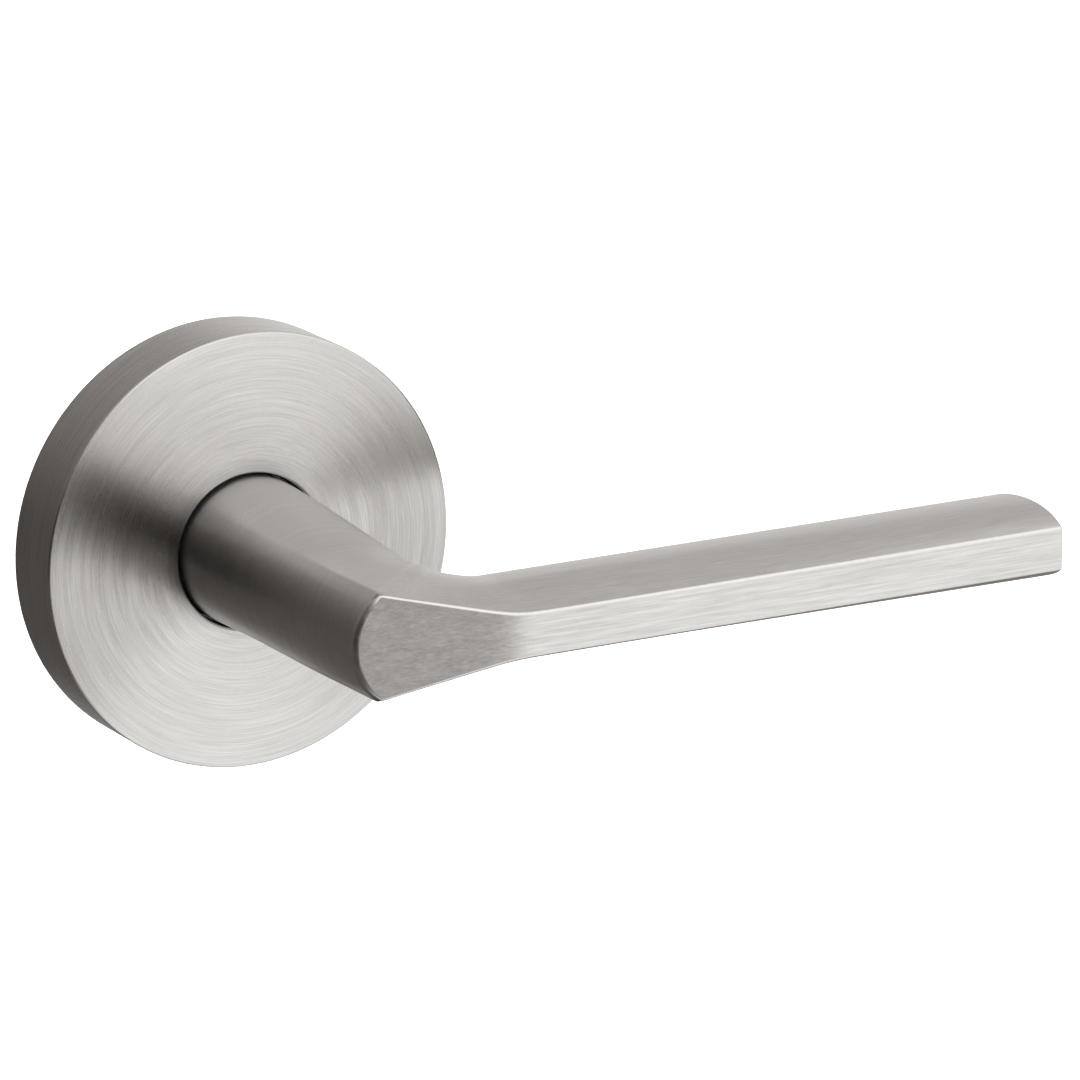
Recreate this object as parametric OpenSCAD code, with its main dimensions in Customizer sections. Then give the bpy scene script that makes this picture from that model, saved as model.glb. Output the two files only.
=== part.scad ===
// Door lever handle: one half of a passage set, a lever on a round concealed-fixing rose.
// The origin is the spindle axis at the door face. The handle stands out from the door
// towards -Y, the lever points towards +X and +Z is up. All sizes are in millimetres.

/* [Rose] */
// Outer diameter of the rose cover
rose_d = 66.7; // [62:0.1:81]
// Height of the rose cover over the door face
rose_t = 11.25; // [9.3:0.05:14]
// Wall of the rose cover
rose_wall = 1.2; // [0.8:0.1:1.6]
// Rounding of the rose cover's front edge
rose_edge_r = 0.4; // [0.2:0.1:0.8]
// Gap all round between the neck and the hole in the rose cover
rose_hole_gap = 0.5; // [0.3:0.1:1]

/* [Lever] */
// Diameter of the lever's round neck
neck_d = 23; // [20:0.1:28]
// Distance from the spindle axis to the tip of the lever
lever_reach = 105.4; // [80:0.2:140]
// Distance from the door face to the front of the lever
lever_projection = 70.15; // [58:0.05:85]
// Depth of the blade from front to back
blade_depth = 22.4; // [16:0.1:27]
// Distance from the front of the blade back to its thickest place
blade_crown_depth = 8.8; // [6:0.1:11]
// Thickness of the blade at its thickest place
blade_crown_h = 11.3; // [9:0.1:14]
// Height of the flat strip along the front of the blade
blade_front_h = 6.5; // [4:0.1:8]
// Backward slope of the flat end of the neck, in degrees
face_tilt = 13.5; // [6:0.5:16.5]
// Radius of the inner corner between neck and blade
inner_corner_r = 4; // [3:0.5:12]
// Angle round the neck, up from the far side, of the corners of its flat end, in degrees
corner_angle = 44; // [38:1:50]

/* [Door fixing] */
// Diameter of the ring that centres the rose in the door's cross bore
spigot_d = 53.6; // [51:0.1:62]
// Length of the centring ring behind the door face
spigot_len = 5; // [3:0.5:6]
// Distance between the two threaded posts
post_spacing = 38.1; // [31.6:0.1:39]
// Outer diameter of a threaded post
post_d = 6.4; // [5.3:0.1:7.7]
// Thread core diameter in a post
post_hole_d = 3.3; // [2.6:0.1:4]
// How far the posts reach behind the door face
post_reach = 16; // [12:0.5:22]

/* [Hub and spindle] */
// Diameter of the hub inside the neck
hub_d = 18; // [15:0.1:21.6]
// Diameter of the hub's rear journal
journal_d = 16; // [15:0.1:19.2]
// Distance over the two flats of the journal
journal_flats = 14; // [11.6:0.1:15]
// Depth of the hub inside the neck, over the door face
hub_reach = 26; // [22:0.5:32]
// Side of the square spindle
spindle_side = 7.9; // [6:0.1:9]
// How far the spindle reaches behind the door face
spindle_reach = 40; // [25:1:60]
// Diameter of the pin through hub and spindle
spindle_pin_d = 3; // [2:0.1:3.6]
// Thread diameter of the lever's set screw
set_screw_d = 5; // [4:0.1:6]
// Radial clearance of the hub in its bushes
running_gap = 0.05; // [0.02:0.01:0.1]

/* [Return spring] */
// Wire diameter of the return spring
wire_d = 1.8; // [1.2:0.1:2.2]
// Diameter of the spring's coil, through the middle of the wire
coil_d = 28; // [23:0.1:29]
// Whole turns of the spring
coil_turns = 2; // [1:1:2]
// How far the lever turns each way before it meets its stop, in degrees
turn_angle = 45; // [30:1:54]

/* [Hidden] */
$fn = 96;
nickel = [0.72, 0.70, 0.67];
steel = [0.62, 0.63, 0.65];
zinc = [0.55, 0.55, 0.56];
acetal = [0.10, 0.10, 0.10];
nylon = [0.86, 0.85, 0.80];

slack = 0.1;          // play between pieces that are pushed together by hand
apart = 0.3;          // room between a moving piece and a fixed one
overcut = 1;          // how far a cutting tool runs past the metal

// Heights over the door face, measured outwards. Behind the door face they are negative.
flange_t = 2;
pan_floor_t = 2;
pan_front = -4;
pan_back = pan_front - pan_floor_t;
cam_t = 1.5;
cam_back = pan_front + apart;
cam_front = cam_back + cam_t;
coil_pitch = wire_d + 0.05;
coil_back = cam_front + 0.2;
coil_front = coil_back + wire_d + coil_pitch * (coil_turns + 0.1);
cover_t = 1.5;
cover_back = max(4.4, coil_front + 0.3);
cover_front = cover_back + cover_t;
bush_flange_t = 0.8;
neck_back = cover_front + bush_flange_t + apart;
washer_t = 0.6;
washer_front = pan_back - bush_flange_t - 0.05;
wave_front = washer_front - washer_t - 0.05;
wave_t = 0.3;
wave_rise = 0.3;
circlip_front = wave_front - wave_t - 2 * wave_rise - 0.05;
circlip_t = 1.2;
hub_back = circlip_front - circlip_t - 1.5;

// Radii
rose_r = rose_d / 2;
rose_inner_r = rose_r - rose_wall;
neck_r = neck_d / 2;
hole_r = neck_r + rose_hole_gap;
hub_r = hub_d / 2;
journal_r = journal_d / 2;
spigot_r = spigot_d / 2;
flange_r = rose_inner_r - slack;
coil_r = coil_d / 2;
bush_wall = 1.5;
bush_inner_front = hub_r + running_gap;
bush_inner_rear = journal_r + running_gap;
bush_flange_r = max(neck_r + 0.1, max(bush_inner_front, bush_inner_rear) + bush_wall + 0.5);

// Return spring, its legs, and the lug and tab between them
lug_half = 2.2;
leg_x = lug_half + wire_d / 2 + 0.05;
leg_angle = asin(leg_x / coil_r);
lug_in = coil_r + wire_d / 2 + 0.5;
lug_out = lug_in + 2;
tab_in = lug_out + 0.5;
tab_out = tab_in + 1.3;
leg_out = tab_out + apart;

// Screws, posts and stops
cover_screw_r = 1.2;
cover_screw_head_r = 2.1;
cover_screw_head_t = 1.4;
cover_screw_len = 5;
pillar_r = 2.2;
pillar_at = tab_out + apart + 0.3 + pillar_r;
pillar_angles = [40, 140, 270];
collar_r = post_d / 2 + 0.8;
collar_t = 1.2;
stop_arm_half = 12;
stop_gap = 1;
stop_width = 7;
ring_groove_t = 0.3;
ring_foot_step = 0.4;
pan_wall = 1.5;
pan_inner_r = max(pillar_at + pillar_r - 0.5, post_spacing / 2 + collar_r + 0.65);
pan_r = pan_inner_r + pan_wall;
cam_r = post_spacing / 2 - collar_r - 0.5;
stop_in = max(lug_in, cam_r + apart);
pin_at = cam_front + spindle_pin_d / 2 + 1;
screw_at = rose_t + 6;
dimple_depth = 1.3;
clip_angles = [90, 210, 330];
clip_t = 0.4;
clip_w = 7;
groove_depth = 0.35;
groove_mid = 1.3;
groove_half = 0.4;
rivet_r = 0.9;
rivet_at = flange_r - 2.9;

// Lever surface. Each cross loop has a front part and, above and below it, a crown part.
front_steps = 10;
crown_steps = 18;
neck_loops = 8;
hub_cover_wall = 0.7;
flat_shift = 0.4;
flat_run = 63;
turn_loops = 8;
face_loops = 16;
blade_loops = 8;
neck_taper = 0.1;
taper_start = lever_projection - 28.6;
corner_x = -neck_r * cos(corner_angle);
corner_h = neck_r * sin(corner_angle);
face_corner_x = corner_x + 0.5;
bend_x = neck_r + 1.2;
bend_soft = 1.5;
edge_slope = (corner_h - blade_front_h / 2) / (bend_x - 0.6 - face_corner_x);
blade_back_s = lever_projection - blade_depth;
corner_cx = neck_r - 0.1 + inner_corner_r;
corner_cs = blade_back_s - inner_corner_r;
crown_at = blade_depth - blade_crown_depth;
turn_share = 32;

function smooth_step(t) = let (u = max(0, min(1, t))) u * u * (3 - 2 * u);
function blend(a, b, t) = a + (b - a) * t;
function soft_ramp(u, k) = u / k > 30 ? u : k * ln(1 + exp(u / k));
// Height of the lever's front over the door face, and half its height, at a place along X
function face_s(x) = lever_projection - tan(face_tilt) * soft_ramp(bend_x - x, bend_soft);
function edge_h(x) = blade_front_h / 2 + edge_slope * soft_ramp(bend_x - 0.6 - x, bend_soft);
// Half height of the neck at its highest place, which falls towards the front
function crown_h(s) = max(hub_r + hub_cover_wall - max(0, s - hub_reach - 1),
    blend(neck_r, blade_crown_h / 2,
        pow(max(0, min(1, (s - rose_t) / (lever_projection - rose_t - 2))), 1.3)));

// Front part of a loop: an arc, bulging from the corner point c out to the outer point o
function front_part(o, c, h) =
    let (sag = norm(c - o), arc = max(0.01, 2 * atan2(sag, h)), r = h / sin(arc))
    [for (j = [0:front_steps])
        let (w = -1 + 2 * j / front_steps,
             p = sag < 0.001 ? c : blend(o, c, r * (1 - cos(w * arc)) / sag))
        [p[0], -p[1], sag < 0.001 ? w * h : r * sin(w * arc)]];

// Half height at distance q from the inner point: two quarter ellipses meeting at the crown,
// the front one flattened by the share flat
function crown_z(q, len, h, crown, at, flat) =
    let (front = (len - at) / sqrt(max(0.0001, 1 - pow(h / crown, 2))),
         u = max(0, (q - at) / (len - at)))
    q < at ? crown * sqrt(max(0, 1 - pow(1 - q / at, 2)))
           : blend(crown * sqrt(max(0, 1 - pow((q - at) / front, 2))),
                h + (crown - h) * (1 - pow(u, 1.5)), flat);

function crown_part(c, i, h, crown, at, flat) =
    let (len = norm(c - i), place = min(at, 0.98 * len) - flat_shift * flat,
         top = max(crown, h + 0.02))
    [for (j = [1:crown_steps])
        let (q = len * (1 - sin(90 * j / crown_steps)), p = blend(i, c, q / len))
        [p[0], -p[1], j == crown_steps ? 0 : crown_z(q, len, h, top, place, flat)]];

// One closed loop round the lever
function loop(o, c, i, h, crown, at, flat) =
    let (top = crown_part(c, i, h, crown, at, flat))
    concat(front_part(o, c, h), top,
        [for (j = [crown_steps - 2:-1:0]) [top[j][0], top[j][1], -top[j][2]]]);

function inner_corner(a) =
    [corner_cx - inner_corner_r * cos(a), corner_cs + inner_corner_r * sin(a)];

// Loops round the neck, square to its axis
function neck_set() = [for (k = [0:neck_loops - 1])
    let (s = blend(neck_back, corner_cs, k / neck_loops))
    loop([-neck_r, s], [corner_x, s], [neck_r - 0.1, s], corner_h, crown_h(s),
        blend(neck_r - 0.1, neck_r + 1.7, smooth_step((s - rose_t) / 40)), 0)];

// Loops that fan out until they reach the edge of the neck's flat end
function turn_set() = [for (k = [0:turn_loops])
    let (t = k / turn_loops,
         i = inner_corner(turn_share * t),
         s_out = blend(corner_cs, face_s(-neck_r), t),
         r_out = neck_r - neck_taper * smooth_step((s_out - taper_start) / 22),
         s_top = blend(corner_cs, face_s(face_corner_x), t),
         c = [blend(corner_x, face_corner_x, smooth_step(t)), s_top])
    loop([-r_out, s_out], c, i, corner_h, crown_h(blend(i[1], s_top, 0.55)),
        blend(neck_r + 1.7, neck_r + 3.3, t), 0)];

// Loops across the flat end, round to the start of the blade
function face_set() = [for (k = [1:face_loops])
    let (t = k / face_loops,
         i = inner_corner(blend(turn_share, 90, t)),
         x = blend(face_corner_x, corner_cx, t),
         x_out = x - (neck_r - neck_taper + face_corner_x) * (1 - smooth_step(t / 0.7)),
         crown_start = crown_h(blend(inner_corner(turn_share)[1], face_s(face_corner_x), 0.55)))
    loop([x_out, face_s(x_out)], [x, face_s(x)], i, edge_h(x),
        blend(crown_start, blade_crown_h / 2, smooth_step(t)), blend(neck_r + 3.3, crown_at, t),
        smooth_step(t))];

// Loops along the blade, square to it. It is flattest near the neck and full at its tip.
function blade_set() = [for (k = [1:blade_loops])
    let (x = blend(corner_cx, lever_reach, k / blade_loops))
    loop([x, face_s(x)], [x, face_s(x)], [x, blade_back_s], edge_h(x),
        blade_crown_h / 2, crown_at, max(0, min(1, (lever_reach - 2.4 - x) / flat_run)))];

// Turns a shape drawn with +Z outwards from the door into place
module outward() {
    rotate([90, 0, 0]) children();
}

// Tube between two heights over the door face
module tube(r_out, r_in, low, high) {
    translate([0, 0, low]) difference() {
        cylinder(r = r_out, h = high - low);
        translate([0, 0, -overcut]) cylinder(r = r_in, h = high - low + 2 * overcut);
    }
}

// Flat wedge of a ring, centred on an angle
module wedge(r_out, r_in, mid, half, low, high) {
    far = r_out / cos(half) + 1;
    intersection() {
        tube(r_out, r_in, low, high);
        rotate([0, 0, mid]) translate([0, 0, low]) linear_extrude(high - low)
            polygon([[0, 0], [far * cos(half), -far * sin(half)], [far * cos(half), far * sin(half)]]);
    }
}

// Pressed shell that hides the fixings, with a groove inside its rim for the clips
module rose_cover() {
    color(nickel) outward() rotate_extrude() difference() {
        union() {
            square([rose_r, rose_t - rose_edge_r]);
            square([rose_r - rose_edge_r, rose_t]);
            translate([rose_r - rose_edge_r, rose_t - rose_edge_r]) circle(r = rose_edge_r);
        }
        translate([-overcut, -overcut])
            square([rose_inner_r + overcut, rose_t - rose_wall + overcut]);
        translate([-overcut, 0]) square([hole_r + overcut, rose_t + overcut]);
        polygon([[hole_r - 0.01, rose_t - 0.25], [hole_r + 0.26, rose_t + 0.01],
            [hole_r - 0.01, rose_t + 0.01]]);
        translate([0, groove_mid - groove_half])
            square([rose_inner_r + groove_depth, 2 * groove_half]);
    }
}

// Dark ring behind the hole in the cover, which keeps the neck off its edge
module guide_ring() {
    color(acetal) outward() tube(hole_r + 2.5, neck_r + apart, rose_t - rose_wall - 1.2,
        rose_t - rose_wall);
}

// Die-cast chassis: a flange on the door face and a pan in the cross bore
module mounting_plate() {
    color(zinc) outward() difference() {
        union() {
            tube(flange_r, pan_inner_r, 0, flange_t);
            tube(pan_r, pan_inner_r, pan_back, flange_t);
            translate([0, 0, pan_back]) cylinder(r = pan_r, h = pan_floor_t);
            for (a = pillar_angles) rotate([0, 0, a]) translate([pillar_at, 0, pan_front - overcut])
                cylinder(r = pillar_r, h = cover_back - pan_front + overcut);
            for (side = [-1, 1])
                wedge(tab_out, stop_in, 270 + side * (stop_arm_half + turn_angle + stop_gap
                    + stop_width / 2), stop_width / 2, pan_front - overcut, cam_front);
        }
        tube(spigot_r + 0.02, pan_r, -overcut, ring_groove_t);
        translate([0, 0, pan_back - overcut])
            cylinder(r = bush_inner_rear + bush_wall, h = pan_floor_t + 2 * overcut);
        for (side = [-1, 1]) translate([side * post_spacing / 2, 0, pan_back - overcut])
            cylinder(d = post_d, h = pan_floor_t + 2 * overcut);
        for (a = pillar_angles) rotate([0, 0, a])
            translate([pillar_at, 0, cover_back - cover_screw_len])
                cylinder(r = cover_screw_r + 0.02, h = cover_screw_len + overcut);
        for (a = clip_angles) rotate([0, 0, a]) {
            translate([flange_r - clip_t - 0.1, -clip_w / 2 - slack, -overcut])
                cube([clip_t + overcut, clip_w + 2 * slack, flange_t + 2 * overcut]);
            translate([rivet_at, 0, -overcut]) cylinder(r = rivet_r, h = flange_t + 2 * overcut);
        }
    }
}

// Nylon ring pushed over the pan, which fills the door's cross bore
module adapter_ring() {
    color(nylon) outward() {
        tube(spigot_r, pan_r, -spigot_len, 0);
        tube(spigot_r - ring_foot_step, pan_r, -0.5, ring_groove_t);
    }
}

// Posts swaged into the pan, for the screws that come through the door
module threaded_posts() {
    color(steel) outward() for (side = [-1, 1]) translate([side * post_spacing / 2, 0, 0])
        difference() {
            union() {
                translate([0, 0, -post_reach]) cylinder(d = post_d, h = post_reach + pan_front);
                translate([0, 0, pan_front]) cylinder(r = collar_r, h = collar_t);
            }
            translate([0, 0, -post_reach - overcut])
                cylinder(d = post_hole_d, h = post_reach + pan_front + collar_t + 2 * overcut);
        }
}

// Spring-steel clips in notches of the flange, which snap into the cover's groove
module rose_clips() {
    color(steel) outward() for (a = clip_angles) rotate([0, 0, a]) difference() {
        union() {
            intersection() {
                union() {
                    translate([rivet_at - 2, -clip_w / 2, flange_t])
                        cube([flange_r - rivet_at + 2, clip_w, clip_t]);
                    translate([flange_r - clip_t, -clip_w / 2, 0.5])
                        cube([clip_t, clip_w, flange_t + clip_t - 0.5]);
                }
                rotate([0, 0, -a]) cylinder(r = flange_r, h = flange_t + clip_t + overcut);
            }
            translate([flange_r - clip_t / 2, -clip_w / 4, groove_mid - groove_half / 2])
                cube([clip_t / 2 + slack + groove_depth - 0.2, clip_w / 2, groove_half]);
        }
        translate([rivet_at, 0, flange_t - overcut]) cylinder(r = rivet_r, h = 2 * overcut + clip_t);
    }
}

// Rivets that hold the clips on the flange
module clip_rivets() {
    color(steel) outward() for (a = clip_angles) rotate([0, 0, a]) translate([rivet_at, 0, 0]) {
        translate([0, 0, 0.2]) cylinder(r = rivet_r, h = flange_t + clip_t - 0.2);
        translate([0, 0, flange_t + clip_t]) cylinder(r = 2 * rivet_r, h = 0.7);
    }
}

// Plate over the spring, with the fixed lug that one spring leg rests on
module spring_cover() {
    color(steel) outward() difference() {
        union() {
            translate([0, 0, cover_back]) cylinder(r = pan_inner_r - slack, h = cover_t);
            intersection() {
                tube(lug_out, lug_in, coil_back, cover_back + overcut / 2);
                translate([-lug_half, 0, coil_back])
                    cube([2 * lug_half, lug_out, cover_front - coil_back]);
            }
        }
        translate([0, 0, cover_back - overcut])
            cylinder(r = bush_inner_front + bush_wall, h = cover_t + 2 * overcut);
        for (a = pillar_angles) rotate([0, 0, a]) translate([pillar_at, 0, cover_back - overcut])
            cylinder(r = cover_screw_r + 0.1, h = cover_t + 2 * overcut);
    }
}

// Three screws from the spring cover into the pan's pillars
module cover_screws() {
    color(steel) outward() for (a = pillar_angles) rotate([0, 0, a])
        translate([pillar_at, 0, 0]) difference() {
            union() {
                translate([0, 0, cover_back - cover_screw_len + 0.5])
                    cylinder(r = cover_screw_r, h = cover_screw_len + cover_t - 0.5);
                translate([0, 0, cover_front])
                    cylinder(r = cover_screw_head_r, h = cover_screw_head_t);
            }
            for (turn = [0, 90]) rotate([0, 0, turn])
                translate([-1.4, -0.3, cover_front + cover_screw_head_t - 0.8])
                    cube([2.8, 0.6, overcut + 0.8]);
        }
}

// Acetal bush for the journal, pressed into the pan from behind
module rear_bush() {
    color(acetal) outward() {
        tube(bush_inner_rear + bush_wall, bush_inner_rear, pan_back, pan_front);
        tube(bush_flange_r, bush_inner_rear, pan_back - bush_flange_t, pan_back);
    }
}

// Acetal bush for the hub, pressed into the spring cover from the front
module front_bush() {
    color(acetal) outward() {
        tube(bush_inner_front + bush_wall, bush_inner_front, cover_back, cover_front);
        tube(bush_flange_r, bush_inner_front, cover_front, cover_front + bush_flange_t);
    }
}

// Place along the spring: a straight leg, the coil, and the other leg
coil_steps = 24 * coil_turns;
coil_sweep = 2 * leg_angle + 360 * coil_turns;
function coil_point(k) =
    let (t = k / coil_steps, a = 90 + leg_angle - coil_sweep * t)
    [coil_r * cos(a), coil_r * sin(a), coil_back + wire_d / 2 + coil_pitch * coil_sweep / 360 * t];
function leg_end(p) = [p[0], leg_out, p[2]];
function ring_at(p, along) =
    let (side = cross([0, 0, 1], along) / norm(cross([0, 0, 1], along)), up = cross(along, side))
    [for (j = [0:7]) p + wire_d / 2 * (cos(45 * j) * side + sin(45 * j) * up)];
function unit(v) = v / norm(v);

// Torsion spring round the hub, with both legs pointing up
module return_spring() {
    path = concat([leg_end(coil_point(0))], [for (k = [0:coil_steps]) coil_point(k)],
        [leg_end(coil_point(coil_steps))]);
    last = len(path) - 1;
    rings = [for (k = [0:last])
        ring_at(path[k], unit(unit(path[min(k + 1, last)] - path[k] + (k == last ? path[k]
            - path[k - 1] : [0, 0, 0])) + unit(path[k] - path[max(k - 1, 0)] + (k == 0 ? path[1]
            - path[0] : [0, 0, 0]))))];
    color(steel) outward() polyhedron(
        points = [for (ring = rings) for (p = ring) p],
        faces = concat([[for (j = [0:7]) j]], [[for (j = [7:-1:0]) last * 8 + j]],
            [for (k = [0:last - 1]) for (j = [0:7]) let (n = (j + 1) % 8)
                [k * 8 + j, (k + 1) * 8 + j, (k + 1) * 8 + n]],
            [for (k = [0:last - 1]) for (j = [0:7]) let (n = (j + 1) % 8)
                [k * 8 + j, (k + 1) * 8 + n, k * 8 + n]]));
}

// Solid skinned over the lever's loops, with a fan of triangles over each end
module lever_body() {
    loops = concat(neck_set(), turn_set(), face_set(), blade_set());
    n = len(loops[0]);
    last = len(loops) - 1;
    ends = [[0, -neck_back, 0], [lever_reach, -blade_back_s - blade_depth / 2, 0]];
    polyhedron(
        points = concat([for (ring = loops) for (p = ring) p], ends),
        faces = [for (j = [0:n - 1]) let (m = (j + 1) % n)
            each concat([[(last + 1) * n, m, j], [(last + 1) * n + 1, last * n + j, last * n + m]],
                [for (k = [0:last - 1]) [k * n + j, k * n + m, (k + 1) * n + m]],
                [for (k = [0:last - 1]) [k * n + j, (k + 1) * n + m, (k + 1) * n + j]])]);
}

// One-piece lever: round neck, tilted flat end and lens-shaped blade
module lever_handle() {
    color(nickel) difference() {
        lever_body();
        outward() translate([0, 0, neck_back - overcut])
            cylinder(r = hub_r + running_gap, h = hub_reach + apart - neck_back + overcut);
        translate([0, -screw_at, -neck_r - overcut])
            cylinder(d = set_screw_d, h = neck_r + overcut);
    }
}

// Turned hub: carries the lever, runs in both bushes and holds the spindle
module hub() {
    color(steel) difference() {
        outward() difference() {
            union() {
                translate([0, 0, cam_front]) cylinder(r = hub_r, h = hub_reach - cam_front);
                intersection() {
                    translate([0, 0, hub_back]) cylinder(r = journal_r, h = cam_front - hub_back);
                    translate([-journal_flats / 2, -journal_r, hub_back])
                        cube([journal_flats, 2 * journal_r, cam_front - hub_back]);
                }
            }
            tube(journal_r + overcut, journal_r - 0.8, circlip_front - circlip_t - 0.05,
                circlip_front + 0.05);
            translate([-spindle_side / 2 - 0.05, -spindle_side / 2 - 0.05, hub_back - overcut])
                cube([spindle_side + 0.1, spindle_side + 0.1, 12 + slack - hub_back + overcut]);
            translate([-hub_r - overcut, 0, pin_at]) rotate([0, 90, 0])
                cylinder(d = spindle_pin_d, h = hub_d + 2 * overcut);
        }
        translate([0, -screw_at, -hub_r - overcut])
            cylinder(d = set_screw_d, h = dimple_depth + overcut);
    }
}

// Square spindle that turns the latch
module spindle() {
    color(steel) outward() difference() {
        translate([-spindle_side / 2, -spindle_side / 2, -spindle_reach])
            cube([spindle_side, spindle_side, spindle_reach + 12]);
        translate([-hub_r, 0, pin_at]) rotate([0, 90, 0]) cylinder(d = spindle_pin_d, h = hub_d);
    }
}

// Pin that locks the spindle in the hub
module spindle_pin() {
    color(steel) outward() translate([-hub_r + 0.2, 0, pin_at]) rotate([0, 90, 0])
        cylinder(r = spindle_pin_d / 2 - 0.01, h = hub_d - 0.4);
}

// Steel cam on the journal's flats: its tab pushes the spring and its arm meets the stops
module driver_cam() {
    color(steel) outward() difference() {
        union() {
            translate([0, 0, cam_back]) cylinder(r = cam_r, h = cam_t);
            intersection() {
                tube(tab_out, journal_r + 1, cam_back, cam_front);
                translate([-lug_half + apart, 0, cam_back])
                    cube([2 * (lug_half - apart), tab_out, cam_t]);
            }
            intersection() {
                tube(tab_out, tab_in, cam_back, coil_front);
                translate([-lug_half + apart, 0, cam_back])
                    cube([2 * (lug_half - apart), tab_out, coil_front - cam_back]);
            }
            wedge(tab_out, journal_r + 1, 270, stop_arm_half, cam_back, cam_front);
        }
        intersection() {
            translate([0, 0, cam_back - overcut])
                cylinder(r = journal_r + 0.02, h = cam_t + 2 * overcut);
            translate([-journal_flats / 2 - 0.02, -journal_r - overcut, cam_back - overcut])
                cube([journal_flats + 0.04, 2 * journal_r + 2 * overcut, cam_t + 2 * overcut]);
        }
    }
}

// Cup-point set screw under the neck, with a hexagon socket
module set_screw() {
    top = hub_r - dimple_depth + 0.05;
    bottom = neck_r - 0.6;
    color(steel) translate([0, -screw_at, -bottom]) difference() {
        cylinder(r = set_screw_d / 2 - 0.02, h = bottom - top);
        translate([0, 0, -overcut]) cylinder(r = set_screw_d / 4, h = 1.6 + overcut, $fn = 6);
    }
}

// Flat steel washer that the rear bush runs against
module thrust_washer() {
    color(steel) outward() tube(bush_flange_r - 0.1, journal_r + slack, washer_front - washer_t,
        washer_front);
}

// Three-wave spring washer that takes up the end play
module wave_washer() {
    inner = journal_r + slack;
    outer = bush_flange_r - 0.6;
    steps = 48;
    base = wave_front - wave_t - wave_rise;
    color(steel) outward() polyhedron(
        points = [for (k = [0:steps - 1]) let (a = 360 * k / steps, z = base + wave_rise * cos(3 * a))
            for (p = [[inner, 0], [outer, 0], [outer, wave_t], [inner, wave_t]])
                [p[0] * cos(a), p[0] * sin(a), z + p[1]]],
        faces = [for (k = [0:steps - 1]) for (j = [0:3]) for (half = [0, 1])
            let (n = (k + 1) % steps, m = (j + 1) % 4)
            half == 0 ? [k * 4 + j, n * 4 + j, n * 4 + m] : [k * 4 + j, n * 4 + m, k * 4 + m]]);
}

// Retaining ring in the hub's rear groove
module circlip() {
    color(steel) outward() difference() {
        union() {
            tube(journal_r + 1.2, journal_r - 0.75, circlip_front - circlip_t, circlip_front);
            for (side = [-1, 1]) rotate([0, 0, 90 + 14 * side])
                translate([journal_r + 1.4, 0, circlip_front - circlip_t])
                    cylinder(r = 1.3, h = circlip_t);
        }
        translate([-1.2, 0, circlip_front - circlip_t - overcut])
            cube([2.4, journal_d, circlip_t + 2 * overcut]);
        for (side = [-1, 1]) rotate([0, 0, 90 + 14 * side])
            translate([journal_r + 1.4, 0, circlip_front - circlip_t - overcut])
                cylinder(r = 0.5, h = circlip_t + 2 * overcut);
    }
}

rose_cover();
guide_ring();
mounting_plate();
adapter_ring();
threaded_posts();
rose_clips();
clip_rivets();
spring_cover();
cover_screws();
rear_bush();
front_bush();
return_spring();
lever_handle();
hub();
spindle();
spindle_pin();
driver_cam();
set_screw();
thrust_washer();
wave_washer();
circlip();
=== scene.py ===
import math
import bmesh
import bpy
from mathutils import Matrix, Vector


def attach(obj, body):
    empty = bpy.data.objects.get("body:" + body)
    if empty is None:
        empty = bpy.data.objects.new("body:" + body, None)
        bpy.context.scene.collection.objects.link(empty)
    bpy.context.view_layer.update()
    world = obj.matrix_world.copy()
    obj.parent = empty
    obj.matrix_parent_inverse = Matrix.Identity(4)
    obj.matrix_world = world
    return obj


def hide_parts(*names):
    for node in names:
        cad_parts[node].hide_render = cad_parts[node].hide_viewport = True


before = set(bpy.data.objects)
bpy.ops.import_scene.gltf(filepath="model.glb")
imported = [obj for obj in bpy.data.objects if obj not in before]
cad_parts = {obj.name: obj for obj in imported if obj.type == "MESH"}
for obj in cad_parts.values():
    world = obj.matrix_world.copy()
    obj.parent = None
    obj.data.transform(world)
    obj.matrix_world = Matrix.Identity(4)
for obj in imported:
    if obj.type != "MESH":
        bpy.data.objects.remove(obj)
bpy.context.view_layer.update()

# ---------------------------------------------------------------------------------------
# Rose cover. A shell pressed from brass, plated and then brushed on a lathe, so its grain
# runs in circles. Its rim is rolled to a small radius and the hole has a fine chamfer.
# It snaps over three spring clips on the mounting plate.
# ---------------------------------------------------------------------------------------
MM = 0.001
ROSE_R = 33.35
ROSE_T = 11.25
ROSE_WALL = 1.2
ROSE_EDGE_R = 0.4
NECK_R = 11.5
HOLE_R = 12.0
SATIN_NICKEL = (0.652, 0.637, 0.62, 1.0)


def new_piece(name, bm, material, body, stands_for=(), smooth_angle=35):
    """Makes a finished piece from a bmesh and puts it on its body."""
    mesh = bpy.data.meshes.new(name)
    bm.to_mesh(mesh)
    bm.free()
    mesh.polygons.foreach_set("use_smooth", [True] * len(mesh.polygons))
    mesh.set_sharp_from_angle(angle=math.radians(smooth_angle))
    piece = bpy.data.objects.new(name, mesh)
    bpy.context.scene.collection.objects.link(piece)
    mesh.materials.append(material)
    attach(piece, body)
    if stands_for:
        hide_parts(*stands_for)
    return piece


def turned_shape(profile, steps):
    """Spins a closed outline of (radius, distance out from the door) points round the Y axis."""
    bm = bmesh.new()
    points = [bm.verts.new((r * MM, -s * MM, 0)) for r, s in profile]
    sides = [bm.edges.new((points[k - 1], points[k])) for k in range(len(points))]
    bmesh.ops.spin(bm, geom=points + sides, cent=(0, 0, 0), axis=(0, 1, 0), dvec=(0, 0, 0),
                   angle=2 * math.pi, steps=steps, use_merge=True, use_duplicate=False)
    bmesh.ops.remove_doubles(bm, verts=bm.verts, dist=1e-7)
    bmesh.ops.recalc_face_normals(bm, faces=bm.faces)
    return bm


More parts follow.
